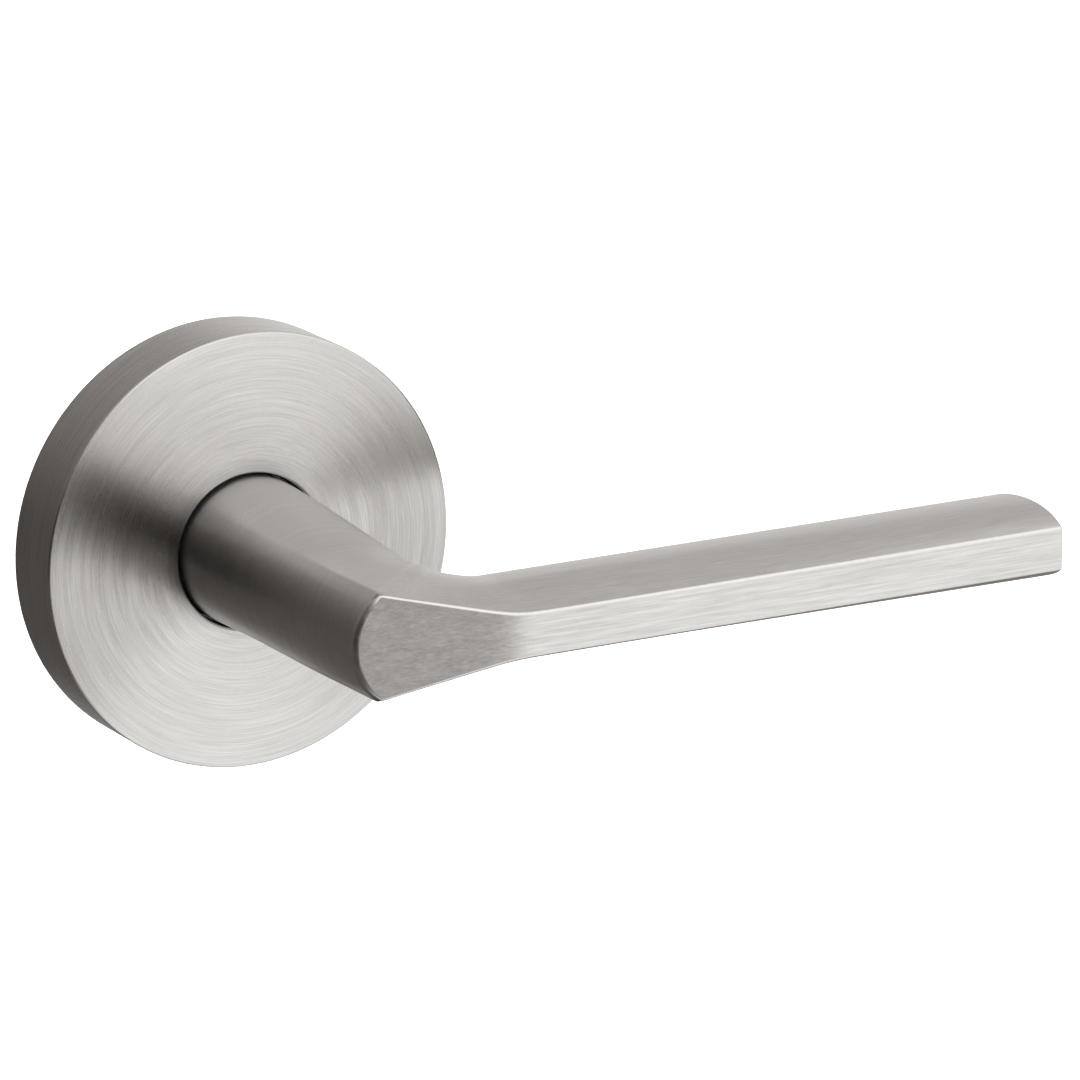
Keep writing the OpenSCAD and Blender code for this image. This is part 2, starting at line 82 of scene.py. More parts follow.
def arc_points(centre_r, centre_s, radius, start, end, steps):
    """Points of an arc in the outline, with angles in degrees from the radius direction."""
    return [(centre_r + radius * math.cos(math.radians(start + (end - start) * k / steps)),
             centre_s + radius * math.sin(math.radians(start + (end - start) * k / steps)))
            for k in range(steps + 1)]


class Finish:
    """A node material on one Principled shader, with helpers that add grain nodes."""

    def __init__(self, name, colour, metallic, roughness):
        self.material = bpy.data.materials.new(name)
        self.material.use_nodes = True
        self.nodes = self.material.node_tree.nodes
        self.links = self.material.node_tree.links
        self.shader = self.nodes["Principled BSDF"]
        self.shader.inputs["Base Color"].default_value = colour
        self.shader.inputs["Metallic"].default_value = metallic
        self.shader.inputs["Roughness"].default_value = roughness
        self.place = self.nodes.new("ShaderNodeTexCoord").outputs["Object"]

    def node(self, kind, inputs=(), **settings):
        made = self.nodes.new(kind)
        for key, value in settings.items():
            setattr(made, key, value)
        for key, value in dict(inputs).items():
            if isinstance(value, bpy.types.NodeSocket):
                self.links.new(value, made.inputs[key])
            else:
                made.inputs[key].default_value = value
        return made

    def maths(self, operation, a, b=0.0):
        return self.node("ShaderNodeMath", {0: a, 1: b}, operation=operation).outputs[0]

    def stretched(self, x, y, z, source=None):
        """Object coordinates scaled per axis, in counts per metre."""
        return self.node("ShaderNodeMapping", {"Vector": source or self.place,
                                               "Scale": (x, y, z)}).outputs[0]

    def round_the_axis(self, along_radius, along_axis, round_count):
        """Coordinates for grain that runs in circles round the Y axis, with no seam."""
        parts = self.node("ShaderNodeSeparateXYZ", {0: self.place}).outputs
        flat = self.node("ShaderNodeCombineXYZ", {"X": parts[0], "Y": 0.0, "Z": parts[2]}).outputs[0]
        radius = self.node("ShaderNodeVectorMath", {0: flat}, operation="LENGTH").outputs["Value"]
        across = self.maths("MULTIPLY", radius, along_radius)
        deep = self.maths("MULTIPLY", parts[1], along_axis)
        unit = self.node("ShaderNodeVectorMath", {0: flat}, operation="NORMALIZE").outputs[0]
        turned = self.node("ShaderNodeSeparateXYZ", {0: unit}).outputs
        return self.node("ShaderNodeCombineXYZ", {
            "X": self.maths("ADD", across, deep),
            "Y": self.maths("MULTIPLY", turned[0], round_count),
            "Z": self.maths("MULTIPLY", turned[2], round_count)}).outputs[0]

    def noise(self, where, scale=1.0, detail=3.0, rough=0.55):
        return self.node("ShaderNodeTexNoise", {"Vector": where, "Scale": scale, "Detail": detail,
                                                "Roughness": rough}).outputs["Fac"]

    def spread(self, value, low, high, start=0.25, end=0.75):
        return self.node("ShaderNodeMapRange", {"Value": value, "From Min": start, "From Max": end,
                                                "To Min": low, "To Max": high}).outputs[0]

    def colour(self, value, dark, light, start=0.25, end=0.75):
        ramp = self.node("ShaderNodeValToRGB", {"Fac": value})
        ramp.color_ramp.elements[0].position = start
        ramp.color_ramp.elements[0].color = dark
        ramp.color_ramp.elements[1].position = end
        ramp.color_ramp.elements[1].color = light
        self.links.new(ramp.outputs[0], self.shader.inputs["Base Color"])

    def shade(self, factor):
        """Paints shade into the colour: scales the colour already set by a factor that varies over the
        piece.
        """
        socket = self.shader.inputs["Base Color"]
        scaled = self.node("ShaderNodeVectorMath", {0: socket.links[0].from_socket, "Scale": factor},
                           operation="SCALE")
        self.links.new(scaled.outputs[0], socket)

    def rough(self, value, low, high, start=0.25, end=0.75):
        self.links.new(self.spread(value, low, high, start, end), self.shader.inputs["Roughness"])

    def circle_direction(self):
        """The way grain runs when a piece is brushed while it turns on the Y axis."""
        parts = self.node("ShaderNodeSeparateXYZ", {0: self.place}).outputs
        return self.node("ShaderNodeCombineXYZ", {"X": self.maths("MULTIPLY", parts[2], -1.0),
                                                  "Y": 0.0, "Z": parts[0]}).outputs[0]

    def brushed(self, along, amount):
        """Stretches highlights across grain that runs along the given direction."""
        turned = self.node("ShaderNodeVectorTransform", {0: along}, vector_type="VECTOR",
                           convert_from="OBJECT", convert_to="WORLD")
        self.links.new(turned.outputs[0], self.shader.inputs["Tangent"])
        self.shader.inputs["Anisotropic"].default_value = amount
        self.shader.inputs["Anisotropic Rotation"].default_value = 0.25

    def bump(self, height, distance, strength=1.0):
        made = self.node("ShaderNodeBump", {"Height": height, "Distance": distance,
                                            "Strength": strength})
        self.links.new(made.outputs[0], self.shader.inputs["Normal"])


def tone(colour, factor):
    """A lighter or darker version of a colour."""
    return tuple(c * factor for c in colour[:3]) + (1.0,)


rose_finish = Finish("nickel_brushed_in_circles", SATIN_NICKEL, 1.0, 0.3)
circles = rose_finish.noise(rose_finish.round_the_axis(6200, 6200, 2.4), 1.0, 5.0, 0.65)
soft_circles = rose_finish.noise(rose_finish.round_the_axis(900, 900, 1.6), 1.0, 3.0, 0.6)
rose_finish.colour(circles, tone(SATIN_NICKEL, 0.82), tone(SATIN_NICKEL, 1.14))
rose_finish.rough(soft_circles, 0.2, 0.31)
rose_finish.bump(circles, 0.00003, 0.7)
rose_finish.brushed(rose_finish.circle_direction(), 1.0)

rose_outline = ([(ROSE_R, 0.0)]
                + [(ROSE_R, s) for s in (2.5, 5.0, 7.5, 10.0)]
                + arc_points(ROSE_R - ROSE_EDGE_R, ROSE_T - ROSE_EDGE_R, ROSE_EDGE_R, 0, 90, 8)
                + [(r, ROSE_T) for r in (30.0, 26.0, 22.0, 18.0, 14.5)]
                + [(HOLE_R + 0.30, ROSE_T), (HOLE_R + 0.24, ROSE_T - 0.02), (HOLE_R, ROSE_T - 0.25),
                   (HOLE_R, ROSE_T - ROSE_WALL), (22.0, ROSE_T - ROSE_WALL)]
                + arc_points(ROSE_R - ROSE_WALL - 0.8, ROSE_T - ROSE_WALL - 0.8, 0.8, 90, 0, 5)
                + [(ROSE_R - ROSE_WALL, 1.7), (ROSE_R - ROSE_WALL + 0.35, 1.7),
                   (ROSE_R - ROSE_WALL + 0.35, 0.9), (ROSE_R - ROSE_WALL, 0.9),
                   (ROSE_R - ROSE_WALL, 0.0)])
rose = new_piece("rose_shell", turned_shape(rose_outline, 192), rose_finish.material, "rose",
                 ["rose_cover"])

# ---------------------------------------------------------------------------------------
# Lever. Cast in one piece and finished by belt: the round neck is brushed round its axis
# and the blade along its length. A tilted flat closes the neck and runs on into the
# front of the blade. The hub fills the bore behind, and a set screw enters from below.
# ---------------------------------------------------------------------------------------
NECK_BACK = 7.0
LEVER_REACH = 105.4
PROJECTION = 70.15
BLADE_DEPTH = 22.4
CROWN_DEPTH = 8.8
CROWN_H = 11.3
FRONT_H = 6.5
FACE_TILT = 13.5
INNER_CORNER_R = 4
NECK_TAPER = 0.1
FLAT_SHIFT = 0.4
FLAT_RUN = 63
CORNER_ANGLE = math.radians(44)
HUB_REACH = 26.3
BORE_R = 9.05
SET_SCREW_AT = 17.25
SET_SCREW_HOLE_R = 2.5
EDGE_ROUNDING = 0.85

corner_x = -NECK_R * math.cos(CORNER_ANGLE)
corner_h = NECK_R * math.sin(CORNER_ANGLE)
face_corner_x = corner_x + 0.5
bend_x = NECK_R + 1.2
edge_slope = (corner_h - FRONT_H / 2) / (bend_x - 0.6 - face_corner_x)
blade_back = PROJECTION - BLADE_DEPTH
corner_cx = NECK_R - 0.1 + INNER_CORNER_R
corner_cs = blade_back - INNER_CORNER_R
crown_at = BLADE_DEPTH - CROWN_DEPTH
TURN_SHARE = 32


def smooth_step(t):
    u = max(0.0, min(1.0, t))
    return u * u * (3 - 2 * u)


def blend(a, b, t):
    return a + (b - a) * t


def soft_ramp(u, k):
    return u if u / k > 30 else k * math.log(1 + math.exp(u / k))


def face_s(x):
    return PROJECTION - math.tan(math.radians(FACE_TILT)) * soft_ramp(bend_x - x, 1.5)


def edge_h(x):
    return FRONT_H / 2 + edge_slope * soft_ramp(bend_x - 0.6 - x, 1.5)


def crown_h(s):
    t = max(0.0, min(1.0, (s - ROSE_T) / (PROJECTION - ROSE_T - 2)))
    return blend(NECK_R, CROWN_H / 2, t ** 1.3)


def inner_corner(degrees):
    a = math.radians(degrees)
    return (corner_cx - INNER_CORNER_R * math.cos(a), corner_cs + INNER_CORNER_R * math.sin(a))


FRONT_STEPS = 16
FRONT_INSET = 0.85
CROWN_STEPS = 34


def cross_loop(outer, corner, inner, h, crown, at, flat=0.0):
    """One cross loop: an arc in front between two corners, and a crown above and below."""
    o, c, i = Vector(outer), Vector(corner), Vector(inner)
    sag = (c - o).length
    bend = max(0.01, 2 * math.atan2(sag, h))
    r = h / math.sin(bend) if sag >= 0.001 else 0
    points = []
    for j in range(FRONT_STEPS + 1):
        w = (-1 + 2 * j / FRONT_STEPS) * (FRONT_INSET if 0 < j < FRONT_STEPS else 1)
        if sag < 0.001:
            p, z = c, w * h
        else:
            p, z = o.lerp(c, r * (1 - math.cos(w * bend)) / sag), r * math.sin(w * bend)
        points.append((p[0], p[1], z))
    length = (c - i).length
    place = min(at, 0.98 * length) - FLAT_SHIFT * flat
    top = max(crown, h + 0.02)
    front = (length - place) / math.sqrt(1 - (h / top) ** 2)
    upper = []
    for j in range(1, CROWN_STEPS + 1):
        q = length * (1 - math.sin(math.pi / 2 * j / CROWN_STEPS))
        if q < place:
            z = top * math.sqrt(max(0.0, 1 - (1 - q / place) ** 2))
        else:
            z = blend(top * math.sqrt(max(0.0, 1 - ((q - place) / front) ** 2)),
                      h + (top - h) * (1 - ((q - place) / (length - place)) ** 1.5), flat)
        p = i.lerp(c, q / length)
        upper.append((p[0], p[1], z))
    lower = [(x, s, -z) for x, s, z in reversed(upper[:-1])]
    return points + upper + lower


neck_loops, turn_loops, face_loops, blade_loops = 34, 14, 26, 40
lever_loops = []
for k in range(neck_loops):
    s = blend(NECK_BACK, corner_cs, k / neck_loops)
    lever_loops.append(cross_loop((-NECK_R, s), (corner_x, s), (NECK_R - 0.1, s), corner_h, crown_h(s),
                                  blend(NECK_R - 0.1, NECK_R + 1.7, smooth_step((s - ROSE_T) / 40))))
for k in range(turn_loops + 1):
    t = k / turn_loops
    i = inner_corner(TURN_SHARE * t)
    s_out = blend(corner_cs, face_s(-NECK_R), t)
    r_out = NECK_R - NECK_TAPER * smooth_step((s_out - (PROJECTION - 28.6)) / 22)
    s_top = blend(corner_cs, face_s(face_corner_x), t)
    lever_loops.append(cross_loop((-r_out, s_out), (blend(corner_x, face_corner_x, smooth_step(t)), s_top),
                                  i, corner_h, crown_h(blend(i[1], s_top, 0.55)),
                                  blend(NECK_R + 1.7, NECK_R + 3.3, t)))
crown_start = crown_h(blend(inner_corner(TURN_SHARE)[1], face_s(face_corner_x), 0.55))
for k in range(1, face_loops + 1):
    t = k / face_loops
    x = blend(face_corner_x, corner_cx, t)
    x_out = x - (NECK_R - NECK_TAPER + face_corner_x) * (1 - smooth_step(t / 0.7))
    lever_loops.append(cross_loop((x_out, face_s(x_out)), (x, face_s(x)),
                                  inner_corner(blend(TURN_SHARE, 90, t)), edge_h(x),
                                  blend(crown_start, CROWN_H / 2, smooth_step(t)),
                                  blend(NECK_R + 3.3, crown_at, t), smooth_step(t)))
for k in range(1, blade_loops + 1):
    x = blend(corner_cx, LEVER_REACH, k / blade_loops)
    lever_loops.append(cross_loop((x, face_s(x)), (x, face_s(x)), (x, blade_back), edge_h(x),
                                  CROWN_H / 2, crown_at,
                                  max(0.0, min(1.0, (LEVER_REACH - 2.4 - x) / FLAT_RUN))))
face_edge_loop = neck_loops + turn_loops


def next_ring(bm, ring, places):
    """Extrudes the ring of vertices one loop on and moves each to its place."""
    count = len(ring)
    sides = [bm.edges.get((ring[k], ring[(k + 1) % count])) for k in range(count)]
    made = bmesh.ops.extrude_edge_only(bm, edges=sides)
    fresh = {v for v in made["geom"] if isinstance(v, bmesh.types.BMVert)}
    new_ring = [next(e.other_vert(v) for e in v.link_edges if e.other_vert(v) in fresh) for v in ring]
    for v, (x, s, z) in zip(new_ring, places):
        v.co = (x * MM, -s * MM, z * MM)
    return new_ring


def first_ring(bm, places):
    """Makes the ring of vertices that the lever's skin starts from."""
    made = bmesh.ops.create_circle(bm, cap_ends=False, segments=len(places), radius=1.0)
    ring = made["verts"]
    for v, (x, s, z) in zip(ring, places):
        v.co = (x * MM, -s * MM, z * MM)
    return ring


lever_mesh = bmesh.new()
rings = [first_ring(lever_mesh, lever_loops[0])]
for places in lever_loops[1:]:
    rings.append(next_ring(lever_mesh, rings[-1], places))
lever_mesh.faces.new(rings[-1])
# the bore, from the back end of the neck
count = len(rings[0])
bore_angles = [math.atan2(z, x) for x, s, z in lever_loops[0]]
bore_back = [(BORE_R * math.cos(a), NECK_BACK, BORE_R * math.sin(a)) for a in bore_angles]
bore_front = [(x, HUB_REACH, z) for x, s, z in bore_back]
mouth = next_ring(lever_mesh, rings[0], bore_back)
depth = next_ring(lever_mesh, mouth, bore_front)
lever_mesh.faces.new(depth)
weight = lever_mesh.edges.layers.float.new("bevel_weight_edge")


def crisp(a, b, amount):
    """Says how much of the full rounding an edge gets."""
    edge = lever_mesh.edges.get((a, b))
    if edge:
        edge[weight] = amount


# shares of the full rounding: at the flat end's arc, along the front, and round the tip
ARC_SHARE, FRONT_SHARE, TIP_SHARE = 1.0, 0.5, 0.35
for j in range(FRONT_STEPS):
    crisp(rings[face_edge_loop][j], rings[face_edge_loop][j + 1], ARC_SHARE)
for k in range(face_edge_loop, len(rings) - 1):
    crisp(rings[k][0], rings[k + 1][0], FRONT_SHARE)
    crisp(rings[k][FRONT_STEPS], rings[k + 1][FRONT_STEPS], FRONT_SHARE)
for j in range(count):
    crisp(rings[-1][j], rings[-1][(j + 1) % count], TIP_SHARE)
bmesh.ops.recalc_face_normals(lever_mesh, faces=lever_mesh.faces)

neck_finish = Finish("nickel_brushed_round_the_neck", SATIN_NICKEL, 1.0, 0.3)
rings_grain = neck_finish.noise(neck_finish.stretched(60, 4200, 60), 1.0, 4.0, 0.6)
soft_rings = neck_finish.noise(neck_finish.stretched(90, 500, 90), 1.0, 2.0, 0.5)
neck_finish.colour(rings_grain, tone(SATIN_NICKEL, 0.90), tone(SATIN_NICKEL, 1.08))
neck_finish.rough(soft_rings, 0.27, 0.33)
neck_finish.bump(rings_grain, 0.00001, 0.6)
neck_finish.brushed(neck_finish.circle_direction(), 0.8)
# painted shade: the neck's colour is scaled darker close to the rose, where the neck meets it
outward = neck_finish.node("ShaderNodeSeparateXYZ", {0: neck_finish.place}).outputs[1]
neck_finish.shade(neck_finish.spread(outward, 0.74, 1.0, -12 * MM, -50 * MM))

blade_finish = Finish("nickel_brushed_along_the_blade", SATIN_NICKEL, 1.0, 0.32)
strokes = blade_finish.noise(blade_finish.stretched(150, 6500, 6500), 1.0, 4.0, 0.7)
patches = blade_finish.noise(blade_finish.stretched(300, 900, 900), 1.0, 3.0, 0.6)
blade_finish.colour(strokes, tone(SATIN_NICKEL, 0.82), tone(SATIN_NICKEL, 1.14))
blade_finish.rough(patches, 0.27, 0.37)
blade_finish.bump(strokes, 0.00002, 0.7)
blade_finish.brushed((1.0, 0.0, 0.0), 0.8)

NECK_METAL, BLADE_METAL, EDGE_METAL, FRONT_METAL = range(4)
lever_mesh.faces.ensure_lookup_table()
for f in lever_mesh.faces:
    f.material_index = NECK_METAL
# opposite corners of each face past the neck, with the metal that it gets
corner_pairs = set()
for k in range(face_edge_loop, len(rings) - 1):
    for j in range(count):
        corner_pairs.add((rings[k][j], rings[k + 1][(j + 1) % count],
                          FRONT_METAL if j < FRONT_STEPS else BLADE_METAL))
for a, b, metal in corner_pairs:
    for f in set(a.link_faces) & set(b.link_faces):
        f.material_index = metal
for f in rings[-1][0].link_faces:
    f.material_index = BLADE_METAL

lever = new_piece("lever", lever_mesh, neck_finish.material, "lever", ["lever_handle"],
                  smooth_angle=50)
lever.data.materials.append(blade_finish.material)

# the edges, rounded off by the polishing belt, are duller than the faces
edge_finish = Finish("nickel_softened_edges", SATIN_NICKEL, 1.0, 0.32)
nicks = edge_finish.noise(edge_finish.stretched(900, 900, 900), 1.0, 3.0)
edge_finish.colour(nicks, tone(SATIN_NICKEL, 0.95), tone(SATIN_NICKEL, 1.12))
edge_finish.rough(nicks, 0.28, 0.38)
lever.data.materials.append(edge_finish.material)

# the flat front is belt finished last, so its strokes are longer and stand out more
front_finish = Finish("nickel_belt_strokes", SATIN_NICKEL, 1.0, 0.32)
belt = front_finish.noise(front_finish.stretched(95, 3200, 3200), 1.0, 5.0, 0.72)
belt_patches = front_finish.noise(front_finish.stretched(300, 900, 900), 1.0, 3.0, 0.6)
front_finish.colour(belt, tone(SATIN_NICKEL, 0.78), tone(SATIN_NICKEL, 1.12), 0.3, 0.66)
front_finish.rough(belt_patches, 0.27, 0.37)
front_finish.bump(belt, 0.00003, 0.7)
front_finish.brushed((1.0, 0.0, 0.0), 0.8)
lever.data.materials.append(front_finish.material)


def cut_away(piece, cutter):
    """Cuts a bmesh shape out of a piece."""
    cutter_mesh = bpy.data.meshes.new("cutter")
    cutter.to_mesh(cutter_mesh)
    cutter.free()
    tool = bpy.data.objects.new("cutter", cutter_mesh)
    bpy.context.scene.collection.objects.link(tool)
    cut = piece.modifiers.new("cut", "BOOLEAN")
    cut.operation = "DIFFERENCE"
    cut.solver = "EXACT"
    cut.object = tool
    bpy.context.view_layer.update()
    seen = piece.evaluated_get(bpy.context.evaluated_depsgraph_get())
    shape = bpy.data.meshes.new_from_object(seen)
    piece.modifiers.clear()
    uncut = piece.data
    piece.data = shape
    bpy.data.meshes.remove(uncut)
    bpy.data.objects.remove(tool)
    bpy.data.meshes.remove(cutter_mesh)


def upright_cylinder(radius, sides, low, high):
    """A cylinder under the neck between two distances below the axis."""
    bm = bmesh.new()
    bmesh.ops.create_cone(bm, cap_ends=True, segments=sides, radius1=radius * MM,
                          radius2=radius * MM, depth=(low - high) * MM)
    bmesh.ops.translate(bm, verts=bm.verts, vec=(0, -SET_SCREW_AT * MM, -(low + high) / 2 * MM))
    return bm


cut_away(lever, upright_cylinder(SET_SCREW_HOLE_R, 48, NECK_R + 1.0, BORE_R - 0.5))
rounding = lever.modifiers.new("rounded edges", "BEVEL")
rounding.limit_method = "WEIGHT"
rounding.width = EDGE_ROUNDING * MM
rounding.segments = 4
rounding.profile = 0.5
rounding.harden_normals = True
rounding.use_clamp_overlap = False
rounding.material = EDGE_METAL

# ---------------------------------------------------------------------------------------
# Guide ring. Turned from black acetal, it sits behind the hole in the rose cover, keeps
# the neck off the edge of the hole and shows as a dark line round the neck.
# ---------------------------------------------------------------------------------------
def chamfered_ring(outer, inner, low, high, cut):
    """Outline of a ring with all four of its edges cut."""
    return [(outer, low + cut), (outer, high - cut), (outer - cut, high), (inner + cut, high),
            (inner, high - cut), (inner, low + cut), (inner + cut, low), (outer - cut, low)]


def moulded_finish(name, colour, roughness):
    """Plastic with a fine moulded grain and a slow drift in its colour."""
    finish = Finish(name, colour, 0.0, roughness)
    grain = finish.noise(finish.stretched(2600, 2600, 2600), 1.0, 4.0)
    drift = finish.noise(finish.stretched(180, 180, 180), 1.0, 2.0)
    finish.colour(drift, tone(colour, 0.86), tone(colour, 1.1))
    finish.rough(grain, roughness - 0.07, roughness + 0.09)
    finish.bump(grain, 0.00002, 0.6)
    return finish


acetal = moulded_finish("black_acetal_grain", (0.017, 0.017, 0.018, 1.0), 0.42)
new_piece("guide_ring_turned", turned_shape(chamfered_ring(HOLE_R + 2.5, NECK_R + 0.3, ROSE_T - 2.4,
                                                           ROSE_T - 1.2, 0.15), 96),
          acetal.material, "rose", ["guide_ring"])

# ---------------------------------------------------------------------------------------
# Bushes. Black acetal too: one pressed into the pan for the hub's journal, and one in
# the spring cover for the hub itself, each with a flange and a lead-in chamfer.
# ---------------------------------------------------------------------------------------
PAN_BACK = -6.0
PAN_FRONT = -4.0
COVER_BACK = 4.4
COVER_FRONT = 5.9
BUSH_FLANGE_R = 11.6
BUSH_FLANGE_T = 0.8


def bush_outline(inner, wall, press_end, flange_face, flange_end):
    """Outline of a bush from its pressed-in end to the far side of its flange."""
    way = 1 if flange_end > press_end else -1
    outline = [(inner + 0.3, press_end), (inner + wall - 0.3, press_end),
               (inner + wall, press_end + 0.3 * way), (inner + wall, flange_face),
               (BUSH_FLANGE_R, flange_face), (BUSH_FLANGE_R, flange_end - 0.2 * way),
               (BUSH_FLANGE_R - 0.2, flange_end), (inner + 0.3, flange_end),
               (inner, flange_end - 0.3 * way), (inner, press_end + 0.3 * way)]
    return outline


new_piece("rear_bush_turned", turned_shape(bush_outline(8.05, 1.5, PAN_FRONT, PAN_BACK,
                                                        PAN_BACK - BUSH_FLANGE_T), 96),
          acetal.material, "rose", ["rear_bush"])
new_piece("front_bush_turned", turned_shape(bush_outline(9.05, 1.5, COVER_BACK, COVER_FRONT,
                                                         COVER_FRONT + BUSH_FLANGE_T), 96),
          acetal.material, "rose", ["front_bush"])

# ---------------------------------------------------------------------------------------
# Mounting plate. Die-cast zinc with the slightly sandy skin of a casting, brighter where
# the mould polished it. It keeps its own shape from the model.
# ---------------------------------------------------------------------------------------
ZINC = (0.42, 0.43, 0.45, 1.0)


def dress(finish, *names):
    """Gives model nodes that keep their shape a finish."""
    for name in names:
        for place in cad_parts[name].material_slots:
            place.material = finish.material


cast = Finish("die_cast_zinc_skin", ZINC, 0.9, 0.48)
sand = cast.noise(cast.stretched(1500, 1500, 1500), 1.0, 5.0, 0.65)
flow = cast.noise(cast.stretched(90, 60, 140), 1.0, 3.0)
cast.colour(flow, tone(ZINC, 0.78), tone(ZINC, 1.3))
cast.rough(sand, 0.34, 0.6)
cast.bump(sand, 0.00012, 0.8)
dress(cast, "mounting_plate")

# ---------------------------------------------------------------------------------------
# Adapter ring. Natural nylon, slightly waxy and see-through at its edges, moulded with a
# step at its foot and pushed over the pan to fill the door's cross bore.
# ---------------------------------------------------------------------------------------
SPIGOT_R = 26.8
RING_INNER_R = 25.2
nylon = moulded_finish("natural_nylon_wax", (0.56, 0.54, 0.47, 1.0), 0.5)
nylon.shader.inputs["Subsurface Weight"].default_value = 0.15
nylon.shader.inputs["Subsurface Radius"].default_value = (0.002, 0.0015, 0.001)
ring_outline = [(RING_INNER_R, 0.3), (RING_INNER_R, -4.7), (RING_INNER_R + 0.3, -5.0),
                (SPIGOT_R - 0.5, -5.0), (SPIGOT_R, -4.5), (SPIGOT_R, 0.0), (SPIGOT_R - 0.4, 0.0),
                (SPIGOT_R - 0.4, 0.3)]
new_piece("adapter_ring_moulded", turned_shape(ring_outline, 120), nylon.material, "rose",
          ["adapter_ring"])

# ---------------------------------------------------------------------------------------
# Threaded posts. Turned steel with a bright zinc plate, swaged into the pan at their
# collars. Each is tapped right through for a screw from the other side of the door.
# ---------------------------------------------------------------------------------------
STEEL = (0.60, 0.60, 0.61, 1.0)
POST_AT = 19.05
POST_R = 3.2
COLLAR_R = 4.0
CORE_R = 1.65
THREAD_PITCH = 0.7


def metal_finish(name, colour, roughness, grain_size=2400):
    """Plated metal: faint cloudy plate over a fine machined grain."""
    finish = Finish(name, colour, 1.0, roughness)
    grain = finish.noise(finish.stretched(grain_size, grain_size, grain_size), 1.0, 4.0, 0.6)
    cloud = finish.noise(finish.stretched(260, 260, 260), 1.0, 3.0)
    finish.colour(cloud, tone(colour, 0.84), tone(colour, 1.1))
    finish.rough(grain, roughness - 0.07, roughness + 0.1)
    finish.bump(grain, 0.00001, 0.6)
    return finish


def copies_at(bm, places):
    """Repeats a shape at each (x, z) place on the door."""
    single = bpy.data.meshes.new("single")
    bm.to_mesh(single)
    bm.free()
    whole = bmesh.new()
    for x, z in places:
        before = set(whole.verts)
        whole.from_mesh(single)
        bmesh.ops.translate(whole, verts=[v for v in whole.verts if v not in before],
                            vec=(x * MM, 0, z * MM))
    bpy.data.meshes.remove(single)
    return whole


def thread(crest, root, low, high, pitch):
    """Outline points of a thread between two heights, from the low end to the high end."""
    turns = int((high - low) / pitch)
    points = []
    for k in range(turns):
        points += [(crest, low + k * pitch), (root, low + (k + 0.5) * pitch)]
    return points + [(crest, low + turns * pitch)]


plated = metal_finish("zinc_plated_steel", STEEL, 0.32)
POST_BACK = -16.0
post_outline = ([(POST_R, POST_BACK + 0.5), (POST_R, PAN_FRONT), (COLLAR_R, PAN_FRONT),
                 (COLLAR_R, PAN_FRONT + 1.0), (COLLAR_R - 0.2, PAN_FRONT + 1.2),
                 (CORE_R + 0.4, PAN_FRONT + 1.2)]
                + list(reversed(thread(CORE_R, CORE_R + 0.35, POST_BACK + 0.6, PAN_FRONT + 0.8,
                                       THREAD_PITCH)))
                + [(CORE_R + 0.4, POST_BACK), (POST_R - 0.5, POST_BACK)])
new_piece("threaded_posts_turned", copies_at(turned_shape(post_outline, 48), [(POST_AT, 0), (-POST_AT, 0)]),
          plated.material, "rose", ["threaded_posts"])

# ---------------------------------------------------------------------------------------
# Clips and their rivets. The clips are blued spring steel and keep the model's shape. A
# steel rivet with a domed head holds each one on the flange.
# ---------------------------------------------------------------------------------------
SPRING_STEEL = (0.36, 0.36, 0.38, 1.0)
CLIP_ANGLES = (90, 210, 330)
RIVET_AT = 29.15
RIVET_R = 0.9
CLIP_FACE = 2.4
RIVET_HEAD_T = 0.7
blued = metal_finish("tempered_spring_steel", SPRING_STEEL, 0.36)
dress(blued, "rose_clips", "wave_washer")
dome_r = (RIVET_HEAD_T ** 2 + (2 * RIVET_R) ** 2) / (2 * RIVET_HEAD_T)
dome_end = math.degrees(math.asin(2 * RIVET_R / dome_r))
rivet_outline = ([(0.0, 0.2), (RIVET_R - 0.1, 0.2), (RIVET_R, 0.3), (RIVET_R, CLIP_FACE),
                  (2 * RIVET_R - 0.05, CLIP_FACE)]
                 + arc_points(0.0, CLIP_FACE + RIVET_HEAD_T - dome_r, dome_r, 90 - dome_end, 90, 8))
new_piece("clip_rivets_domed", copies_at(turned_shape(rivet_outline, 32),
                                         [(RIVET_AT * math.cos(math.radians(a)),
                                           RIVET_AT * math.sin(math.radians(a)))
                                          for a in CLIP_ANGLES]),
          plated.material, "rose", ["clip_rivets"])

# ---------------------------------------------------------------------------------------
# Spring cover and driver cam, stamped from plated sheet: their faces carry the straight
# rolling lines of the sheet. Both keep the model's shape.
# ---------------------------------------------------------------------------------------
sheet = Finish("rolled_steel_sheet", STEEL, 1.0, 0.34)
rolling = sheet.noise(sheet.stretched(70, 70, 2600), 1.0, 4.0, 0.6)
sheet.colour(rolling, tone(STEEL, 0.82), tone(STEEL, 1.06))
sheet.rough(rolling, 0.27, 0.43)
sheet.bump(rolling, 0.00001, 0.6)
dress(sheet, "spring_cover", "driver_cam")

# ---------------------------------------------------------------------------------------
# Cover screws. Three plated screws with domed heads, rolled threads and a cross recess,
# which hold the spring cover on the pillars of the mounting plate.
# ---------------------------------------------------------------------------------------
PILLAR_AT = 22.0
PILLAR_ANGLES = (40, 140, 270)
SCREW_R = 1.2
SCREW_HEAD_R = 2.1
SCREW_HEAD_T = 1.4
RECESS_DEPTH = 0.8


def block(low, high):
    """A box between two corners, in millimetres, with the second value out from the door."""
    bm = bmesh.new()
    bmesh.ops.create_cube(bm, size=1.0)
    for v in bm.verts:
        x, s, z = [(low[k] if v.co[k] < 0 else high[k]) for k in range(3)]
        v.co = (x * MM, -s * MM, z * MM)
    bmesh.ops.recalc_face_normals(bm, faces=bm.faces)
    return bm


